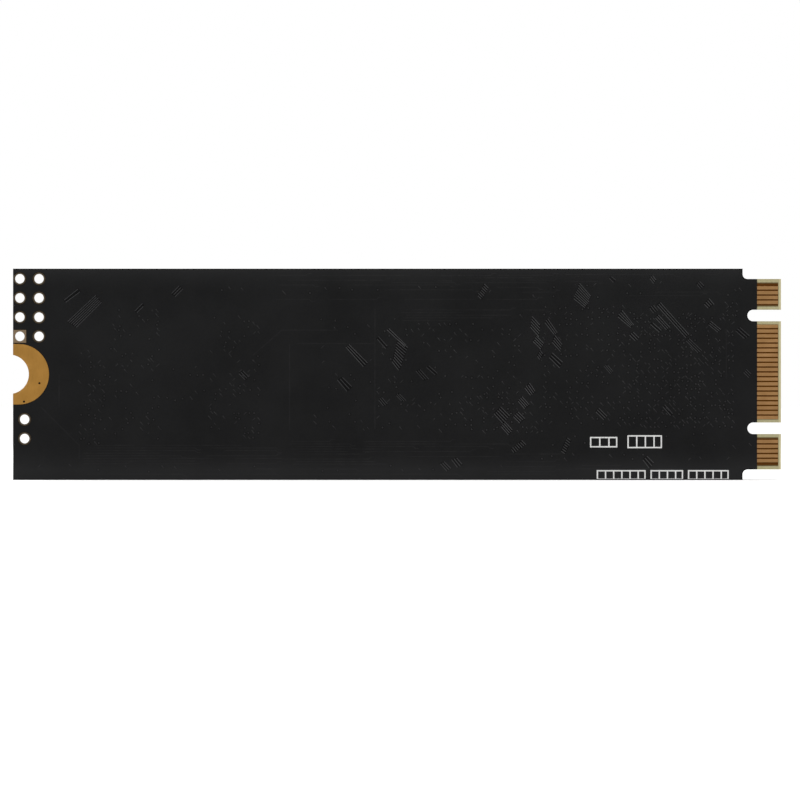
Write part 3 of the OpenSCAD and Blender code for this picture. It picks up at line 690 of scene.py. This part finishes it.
DIM_HATCHES = [
    ((-74.3, 5.5), (-71.4, 8.2), (-73.4, 4.9), (-70.8, 7.5)),
    ((-74.7, 7.7), (-73.2, 8.9), (-74.5, 7.5), (-73.0, 8.6)),
    ((-67.3, 6.6), (-66.5, 7.4), (-67.1, 6.4), (-66.4, 7.1)),
    ((-63.5, 8.4), (-62.7, 9.2), (-63.1, 8.1), (-62.3, 8.9)),
    ((-56.1, 0.4), (-55.4, -0.3), (-56.5, 0.1), (-55.8, -0.6)),
    ((-45.7, -0.3), (-44.7, -1.3), (-46.2, -0.6), (-45.2, -1.8)),
    ((-41.9, 3.9), (-41.0, 2.9), (-42.1, 3.7), (-41.2, 2.7)),
    ((-37.6, 0.5), (-36.7, -0.5), (-38.0, 0.3), (-37.2, -0.6)),
    ((-36.7, 0.9), (-35.8, 0.1), (-36.9, 0.7), (-36.0, -0.1)),
    ((-39.8, -2.0), (-39.1, -2.7), (-40.1, -2.2), (-39.5, -2.8)),
    ((-41.6, -2.4), (-41.0, -3.1), (-41.9, -2.7), (-41.4, -3.3)),
    ((-25.1, 2.5), (-24.8, 2.1), (-25.4, 1.9), (-25.1, 1.5)),
    ((-13.3, 7.2), (-12.9, 6.7), (-13.7, 6.9), (-13.3, 6.4)),
    ((-9.6, 3.75), (-8.3, 2.5), (-9.9, 3.5), (-8.6, 2.2)),
    ((-8.5, 9.7), (-8.0, 9.2), (-8.8, 9.4), (-8.4, 8.9)),
    ((-17.7, 10.2), (-17.2, 9.8), (-17.9, 10.0), (-17.5, 9.6)),
    ((-4.3, 4.9), (-3.3, 4.0), (-4.7, 4.5), (-3.8, 3.7)),
    ((-3.6, 0.5), (-3.1, 0.0), (-3.9, 0.2), (-3.4, -0.3)),
    ((-18.1, 1.0), (-17.5, 0.3), (-18.4, 0.8), (-17.8, 0.1)),
]
# Long bundles of level tracks that hardly show: start x, end x, lowest z, highest z, tracks
BARE_BUNDLES = [
    (-53.2, -23.0, 7.8, 10.3, 11),
    (-39.7, -24.0, 5.6, 6.7, 5),
    (-73.1, -52.0, -10.4, -7.4, 12),
    (-52.0, -23.0, -10.4, -7.0, 14),
    (-21.5, -14.0, 2.4, 3.6, 6),
    (-23.0, -6.0, 8.2, 10.4, 7),
    (-36.0, -28.0, -5.8, -4.4, 5),
    (-22.5, -10.0, -10.2, -8.8, 5),
]
# Outlines of copper areas that show as one faint step: their corners
BARE_STEPS = [
    [(-77.1, -3.4), (-73.1, -7.4), (-73.1, -8.8)],
    [(-78.2, -3.9), (-74.2, -7.9)],
    [(-75.2, 0.0), (-75.2, -3.4)],
    [(-50.4, 3.2), (-42.3, 3.2), (-42.3, -5.7)],
    [(-42.3, 6.8), (-42.3, 3.2)],
    [(-51.2, 3.1), (-51.2, -5.8)],
    [(-35.8, 10.25), (-34.3, 10.25), (-34.3, 9.75), (-35.8, 9.75)],
    [(-5.7, 4.7), (-5.7, -0.5)],
    [(-55.0, 2.0), (-52.0, 4.6), (-46.2, 4.6)],
]
# Fields of tented vias: lowest x and z, highest x and z, pitch, and the share of the places that have one
BARE_FIELDS = [
    (-24.6, -5.2, -15.8, 6.9, 0.55, 0.42),
    (-15.8, -5.4, -5.0, 6.4, 0.43, 0.52),
    (-42.0, -5.6, -36.8, 6.2, 0.60, 0.26),
    (-36.6, -5.8, -27.2, 5.6, 0.55, 0.34),
    (-31.0, -6.0, -24.0, -2.0, 0.50, 0.45),
    (-5.6, 5.6, -3.8, 9.2, 0.45, 0.45),
    (-28.0, 6.0, -12.0, 10.2, 1.10, 0.40),
    (-25.0, -8.6, -3.0, -6.0, 1.20, 0.35),
    (-60.0, 8.8, -28.0, 9.9, 1.40, 0.45),
]
DIM_FIELDS = [
    (-73.0, -7.2, -70.2, 2.4, 0.50, 0.38),
    (-69.4, 3.6, -64.8, 7.0, 0.50, 0.34),
    (-69.8, -6.8, -64.4, 2.6, 0.55, 0.28),
    (-64.0, -2.6, -60.0, 1.0, 0.80, 0.25),
    (-59.4, -6.6, -54.3, 6.6, 0.50, 0.30),
    (-48.5, -5.6, -42.4, 6.2, 0.70, 0.22),
    (-77.0, -9.8, -27.0, -9.0, 1.40, 0.45),
]
TRACK_PITCH = 0.23
TRACK_W = 0.088
TRACK_H = 0.0095
FAINT_W = 0.10
FAINT_H = 0.0030
STEP_W = 0.16
LONE_TRACK_H = 0.006
FIELD_H = 0.009
SHADE_PLATE_H = 0.0012
SHADE_PLATE_MARGIN = 0.06
# Room that the relief leaves at the card's far end, at the mask's end, along the long edges and round a via
END_ROOM = 0.4
MASK_END_ROOM = 0.2
EDGE_ROOM = 0.3
VIA_ROOM = 0.08
# Where the shoulders of the connector begin, with room beside them
SHOULDER_X = -4.6
SHOULDER_Z = 9.3


class Router:
    """Lays ridges and vias on one side, keeping each in its own space and off pads and parts."""

    CELL = 0.12

    def __init__(self, side, seed, keep_out):
        self.side = side
        self.draw = random.Random(seed)
        self.keep_out = keep_out
        self.taken = set()
        self.tracks = Shape()
        self.dim = Shape()
        self.faint = Shape()
        self.vias = Shape()
        self.dim_vias = Shape()
        self.shade_plates = Shape()

    def cell(self, x, z):
        return round(x / self.CELL), round(z / self.CELL)

    def free(self, x, z, margin):
        """Whether a place is on the mask and clear of every pad."""
        if not card_low.x + END_ROOM < x < MASK_EDGE_X - MASK_END_ROOM or abs(z) > card_high.z - EDGE_ROOM:
            return False
        if x > SHOULDER_X and abs(z) > SHOULDER_Z:
            return False
        return not any(
            low_x - margin < x < high_x + margin and low_z - margin < z < high_z + margin
            for low_x, low_z, high_x, high_z in self.keep_out
        )

    def samples(self, path):
        """Points along a path, closer together than the cells."""
        found = []
        for (x0, z0), (x1, z1) in zip(path, path[1:]):
            steps = max(2, int(math.hypot(x1 - x0, z1 - z0) / (self.CELL * 0.7)))
            found += [(x0 + (x1 - x0) * i / steps, z0 + (z1 - z0) * i / steps) for i in range(steps + 1)]
        return found

    def lay(self, shape, path, heights, width, crowd=False):
        """Adds a ridge if its whole path is free. Crowded paths ignore their neighbours."""
        points = self.samples(path)
        if not all(self.free(x, z, width) for x, z in points):
            return False
        cells = {self.cell(x, z) for x, z in points}
        if not crowd and cells & self.taken:
            return False
        self.taken |= cells
        add_ridge(shape, self.side, path, heights, width)
        return True

    def lay_shade_plate(self, corners):
        """A thin dark plate of painted shade where the copper is cut back and the mask would lie lower on
        bare laminate.
        """
        if not all(self.free(x, z, 0.02) for x, z in corners):
            return
        levels = (MASK_Y - SINK, MASK_Y + SHADE_PLATE_H)
        self.shade_plates.add_loft([[(x, self.side * y, z) for x, z in corners] for y in levels])

    def drop_via(self, shape, x, z, height):
        """Adds a via over a dark plate of painted shade, if its place is free."""
        near = {self.cell(x + dx, z + dz) for dx in (-0.1, 0, 0.1) for dz in (-0.1, 0, 0.1)}
        if near & self.taken or not self.free(x, z, VIA_R + VIA_ROOM):
            return
        self.taken |= near
        add_via(shape, self.side, x, z, height)
        self.lay_shade_plate(circle(x, z, VIA_R + SHADE_PLATE_MARGIN, VIA_SIDES))

    def lay_hatch(self, shape, first_start, first_end, last_start, last_end):
        """Tracks side by side from the first to the last, over a dark plate of painted shade."""
        a, b = Vector(first_start), Vector(first_end)
        c, d = Vector(last_start), Vector(last_end)
        along = (b - a).normalized()
        breadth = abs((c - a).cross(along))
        count = max(2, round(breadth / TRACK_PITCH) + 1)
        out = (a - c).normalized() * SHADE_PLATE_MARGIN
        over = along * SHADE_PLATE_MARGIN
        self.lay_shade_plate([tuple(p) for p in (a + out - over, b + out + over, d - out + over, c - out - over)])
        for k in range(count):
            share = k / (count - 1)
            start = a.lerp(c, share) + over * self.draw.uniform(-1, 1)
            end = b.lerp(d, share) + over * self.draw.uniform(-1, 1)
            height = TRACK_H * self.draw.uniform(0.75, 1.0)
            self.lay(shape, [tuple(start), tuple(end)], [height, height], TRACK_W, crowd=True)

    def lay_bundle(self, x0, x1, low, high, count):
        """Level tracks with a few gaps and small jogs."""
        for k in range(count):
            z = low + (high - low) * k / max(count - 1, 1)
            x = x0 + self.draw.uniform(0, 2)
            while x < x1 - 2:
                end = min(x + self.draw.uniform(4, 12), x1)
                jog = self.draw.choice((-0.2, 0, 0.2))
                path = [(x, z), (end - 0.6, z), (end - 0.4, z + jog), (end, z + jog)]
                self.lay(self.faint, path, [FAINT_H * share for share in (0.2, 1, 1, 0.2)], FAINT_W)
                x = end + self.draw.uniform(0.2, 3.0)

    def lay_steps(self, corners):
        """The outline of a copper area."""
        self.lay(self.faint, corners, [FAINT_H * 0.5] * len(corners), STEP_W, crowd=True)

    def fill_field(self, shape, x0, z0, x1, z1, pitch, share):
        """Vias and short slanted tails, each a little off its place in a grid, with some left out."""
        for i in range(int((x1 - x0) / pitch) + 1):
            for j in range(int((z1 - z0) / pitch) + 1):
                if self.draw.random() > share:
                    continue
                x = x0 + (i + self.draw.uniform(-0.25, 0.25)) * pitch
                z = z0 + (j + self.draw.uniform(-0.25, 0.25)) * pitch
                if self.draw.random() < 0.5:
                    self.drop_via(shape, x, z, FIELD_H * self.draw.uniform(0.6, 1.0))
                    continue
                reach = self.draw.uniform(0.07, 0.18)
                rise = self.draw.choice((-1.1, -1.1, -1.1, 0.9)) * reach
                self.lay(shape, [(x - reach, z - rise), (x + reach, z + rise)], [FIELD_H] * 2, TRACK_W)

    def wander(self, shape, count):
        """Single tracks between vias, with one slanted stretch each."""
        for _ in range(count):
            x = self.draw.uniform(card_low.x + 1, MASK_EDGE_X - 1)
            z = self.draw.uniform(card_low.z + 0.8, card_high.z - 0.8)
            level = self.draw.uniform(1.5, 6.0) * self.draw.choice((-1, 1))
            slant = self.draw.uniform(0.4, 2.2)
            up = self.draw.choice((-1, 1))
            way = math.copysign(1, level)
            corner = (x + level, z)
            bend = (corner[0] + way * slant, z + up * slant)
            end = (bend[0], bend[1] + up * self.draw.uniform(0.4, 2.5))
            path = [(x, z), corner, bend, end]
            if self.lay(shape, path, [LONE_TRACK_H] * len(path), FAINT_W):
                self.drop_via(self.vias, x - way * 0.2, z, LONE_TRACK_H)
                self.drop_via(self.vias, end[0], end[1] + up * 0.2, LONE_TRACK_H)

    def build(self, label):
        """Makes a piece of each shape that has anything in it."""
        # The ridges and vias are paler partly from the copper under the mask and partly as painted highlight;
        # the plates are painted shade
        for name, shape, material, smooth in (
            ("track_relief", self.tracks, TRACK_MASK_PAINTED_HIGHLIGHT, False),
            ("dim_track_relief", self.dim, DIM_TRACK_MASK_PAINTED_HIGHLIGHT, False),
            ("deep_track_relief", self.faint, DEEP_TRACK_MASK_PAINTED_HIGHLIGHT, False),
            ("via_relief", self.vias, VIA_MASK_PAINTED_HIGHLIGHT, True),
            ("dim_via_relief", self.dim_vias, DEEP_VIA_MASK_PAINTED_HIGHLIGHT, True),
            ("painted_shade_plate", self.shade_plates, SHADE_AND_PLUG_BLACK, False),
        ):
            if shape.points:
                shape.build(f"{name}_{label}", material, "mask", smooth)


def pad_boxes(names):
    """The x and z ranges of every solid of some nodes, which no relief may cross."""
    found = []
    for name in names:
        found += [(low.x, low.z, high.x, high.z) for low, high in islands(name)]
    return found


COMMON_KEEP_OUT = ["screw_pad_bare_side", "service_hole_barrels", "jumper_hole_barrels"]
# The M-key and B-key notches with room round them: lowest x and z, highest x and z
KEY_NOTCHES = [(-4.4, 5.2, 0.0, 7.1), (-4.4, -6.6, 0.0, -4.7)]
BARE_SEED = 11
COMPONENT_SEED = 23


def add_bare_relief():
    """Tracks, vias and plates of painted shade of the face in the photograph."""
    keep_out = pad_boxes(COMMON_KEEP_OUT + ["printed_marks_bare_side"]) + KEY_NOTCHES
    router = Router(BARE, BARE_SEED, keep_out)
    for hatch in BARE_HATCHES:
        router.lay_hatch(router.tracks, *hatch)
    for hatch in DIM_HATCHES:
        router.lay_hatch(router.dim, *hatch)
    for corners in BARE_STEPS:
        router.lay_steps(corners)
    for field in BARE_FIELDS:
        router.fill_field(router.vias, *field)
    for field in DIM_FIELDS:
        router.fill_field(router.dim_vias, *field)
    for bundle in BARE_BUNDLES:
        router.lay_bundle(*bundle)
    router.build("bare_side")


# The drill marks in the ground pad: distance in from the end of the card, and height
DRILL_MARKS = ((2.75, -0.93), (1.15, -2.85))
DRILL_MARK_R = 0.112
PLUG_SIDES = 16
# The profile of a plug from face to face: share of its radius, and y
PLUG_PROFILE = ((0.3, -0.345), (0.8, -0.335), (1.0, -0.30), (1.0, 0.30), (0.8, 0.335), (0.3, 0.345))


def add_drill_mark_plugs():
    """Black resin that fills the two drill marks almost flush."""
    shape = Shape()
    for inset, z in DRILL_MARKS:
        rings = []
        for reach, y in PLUG_PROFILE:
            ring = circle(card_low.x + inset, z, DRILL_MARK_R * reach, PLUG_SIDES)
            rings.append([(px, y, pz) for px, pz in ring])
        shape.add_loft(rings)
    shape.build("drill_mark_plugs", SHADE_AND_PLUG_BLACK, "mask")


# The component side's hatches, in the same form
COMPONENT_HATCHES = [
    ((-13.0, 2.0), (-8.4, 2.0), (-13.0, 1.8), (-8.4, 1.8)),
    ((-27.5, -0.8), (-30.4, -3.2), (-28.2, -0.4), (-31.1, -2.8)),
    ((-42.0, 8.6), (-31.0, 8.6), (-42.0, 7.8), (-31.0, 7.8)),
]
# One field of vias over the whole side, in the form of BARE_FIELDS, and how many lone tracks are tried
COMPONENT_FIELD = (-79.0, -10.0, -3.0, 10.0, 1.1, 0.45)
COMPONENT_TRIES = 1500


def add_component_relief():
    """Tracks, vias and plates of painted shade between the parts."""
    parts = ["solder_lands", "power_chip_body", "crystal_base", "printed_marks_component_side"]
    router = Router(COMPONENT, COMPONENT_SEED, pad_boxes(COMMON_KEEP_OUT + parts) + KEY_NOTCHES)
    for hatch in COMPONENT_HATCHES:
        router.lay_hatch(router.tracks, *hatch)
    router.wander(router.dim, COMPONENT_TRIES)
    router.fill_field(router.vias, *COMPONENT_FIELD)
    router.build("component_side")


# A solder fillet: how far it goes into the terminal and past its sides, the places of its sections from
# side to side, and the shares of its reach where they have points
FILLET_SINK = 0.015
FILLET_OVERLAP = 0.02
FILLET_SECTIONS = (-1.0, -0.85, -0.5, 0.0, 0.5, 0.85, 1.0)
FILLET_STEPS = (0.12, 0.35, 0.65, 1.0)


def add_fillet(shape, low, high, outward, reach, rise):
    """Solder that climbs the outer end of a terminal from its land, hollow and rounded at its ends."""
    across = Vector((0, 0, 1)) if abs(outward.x) > 0.5 else Vector((1, 0, 0))
    middle = (low + high) / 2
    half_along = abs((high - low).dot(outward)) / 2
    half_across = abs((high - low).dot(across)) / 2
    foot = Vector((middle.x, low.y, middle.z)) + outward * half_along
    rings = []
    for q in FILLET_SECTIONS:
        size = math.sqrt(1 - (0.92 * q) ** 2)
        centre = foot + across * (q * (half_across + FILLET_OVERLAP))
        ring = [centre - outward * FILLET_SINK]
        ring.append(centre - outward * FILLET_SINK + Vector((0, rise * size, 0)))
        for t in FILLET_STEPS:
            ring.append(centre + outward * (reach * t * size) + Vector((0, rise * size * (1 - t) ** 2.2, 0)))
        rings.append(ring)
    shape.add_loft(rings)


def outward_from(low, high, bodies):
    """The axis that points from the nearest body to a terminal."""
    middle = (low + high) / 2
    nearest = min(bodies, key=lambda b: ((b[0] + b[1]) / 2 - middle).length)
    away = middle - (nearest[0] + nearest[1]) / 2
    if abs(away.x) > abs(away.z):
        return Vector((math.copysign(1, away.x), 0, 0))
    return Vector((0, 0, math.copysign(1, away.z)))


# Terminals, the bodies that they belong to, and how far their solder reaches out and up
SOLDERED = [
    ("bulk_capacitor_terminals", "bulk_capacitor_bodies", 0.11, 0.55),
    ("small_capacitor_terminals", "small_capacitor_bodies", 0.10, 0.30),
    ("resistor_terminals", "resistor_bodies", 0.10, 0.20),
    ("fuse_terminals", "fuse_body", 0.11, 0.32),
    ("inductor_terminals", "inductor_cores", 0.10, 0.40),
    ("boot_memory_leads", "boot_memory_body", 0.10, 0.13),
    ("regulator_leads", "regulator_body", 0.10, 0.13),
]


def add_fillets():
    """One piece of solder for each kind of soldered part."""
    for terminals, bodies, reach, rise in SOLDERED:
        shape = Shape()
        owners = islands(bodies)
        for low, high in islands(terminals):
            add_fillet(shape, low, high, outward_from(low, high, owners), reach, rise)
        shape.build(terminals.replace("_terminals", "").replace("_leads", "") + "_fillets", SOLDER, "solder")


# ---- Studio ----


FLOOR_HALF = 8.0
FLOOR_GAP = 0.00002


def add_floor():
    """A square floor just under the card's long edge, in metres."""
    half = FLOOR_HALF
    z = card_low.z * MM - FLOOR_GAP
    mesh = bpy.data.meshes.new("floor")
    corners = [(-half, -half, z), (half, -half, z), (half, half, z), (-half, half, z)]
    mesh.from_pydata(corners, [], [(0, 1, 2, 3)])
    mesh.materials.append(floor_look())
    floor = bpy.data.objects.new("floor", mesh)
    bpy.context.scene.collection.objects.link(floor)


def add_world(seen, lit):
    """White behind the object, and a dimmer white for the light that it gives."""
    world = bpy.data.worlds.new("studio")
    bpy.context.scene.world = world
    world.use_nodes = True
    tree = world.node_tree
    tree.nodes.clear()
    rays = tree.nodes.new("ShaderNodeLightPath")
    mix = tree.nodes.new("ShaderNodeMixShader")
    out = tree.nodes.new("ShaderNodeOutputWorld")
    tree.links.new(rays.outputs["Is Camera Ray"], mix.inputs[0])
    for slot, strength in ((1, lit), (2, seen)):
        light = tree.nodes.new("ShaderNodeBackground")
        light.inputs["Color"].default_value = (1, 1, 1, 1)
        light.inputs["Strength"].default_value = strength
        tree.links.new(light.outputs[0], mix.inputs[slot])
    tree.links.new(mix.outputs[0], out.inputs["Surface"])


def aim(thing, target):
    """Turns a lamp or a camera towards a point."""
    thing.rotation_euler = (target - thing.location).to_track_quat("-Z", "Y").to_euler()


def add_lamp(name, kind, place, target, power, size):
    """A soft lamp. size is a sun's angle in degrees or an area lamp's side in metres."""
    data = bpy.data.lights.new(name, kind)
    data.energy = power
    if kind == "SUN":
        data.angle = math.radians(size)
    else:
        data.shape = "SQUARE"
        data.size = size
    lamp = bpy.data.objects.new(name, data)
    lamp.location = place
    aim(lamp, target)
    bpy.context.scene.collection.objects.link(lamp)


# What the photograph's frame takes in: its width and its centre, in millimetres
VIEW_W = 83.33
VIEW_X = -39.69
VIEW_Z = -2.68


def add_camera():
    """A long lens square to the bare face, as the photograph is."""
    data = bpy.data.cameras.new("camera")
    data.lens = 400
    data.sensor_width = 36
    data.clip_start = 0.01
    data.clip_end = 20
    distance = VIEW_W * MM * data.lens / data.sensor_width
    camera = bpy.data.objects.new("camera", data)
    camera.location = (VIEW_X * MM, -MASK_Y * MM - distance, VIEW_Z * MM)
    aim(camera, Vector((VIEW_X * MM, 0, VIEW_Z * MM)))
    bpy.context.scene.collection.objects.link(camera)
    bpy.context.scene.camera = camera


def add_studio():
    bpy.context.scene.view_settings.view_transform = "Standard"
    add_world(seen=1.0, lit=0.26)
    card = Vector((VIEW_X * MM, 0, 0))
    add_lamp("overhead", "SUN", (-0.10, -0.30, 0.60), card, 3.3, 50)
    add_lamp("rear_softbox", "AREA", (-0.25, 0.45, 0.32), card, 2.2, 0.35)
    add_floor()
    add_camera()


dress_cad_nodes()
add_bare_relief()
add_drill_mark_plugs()
add_component_relief()
add_fillets()
add_studio()
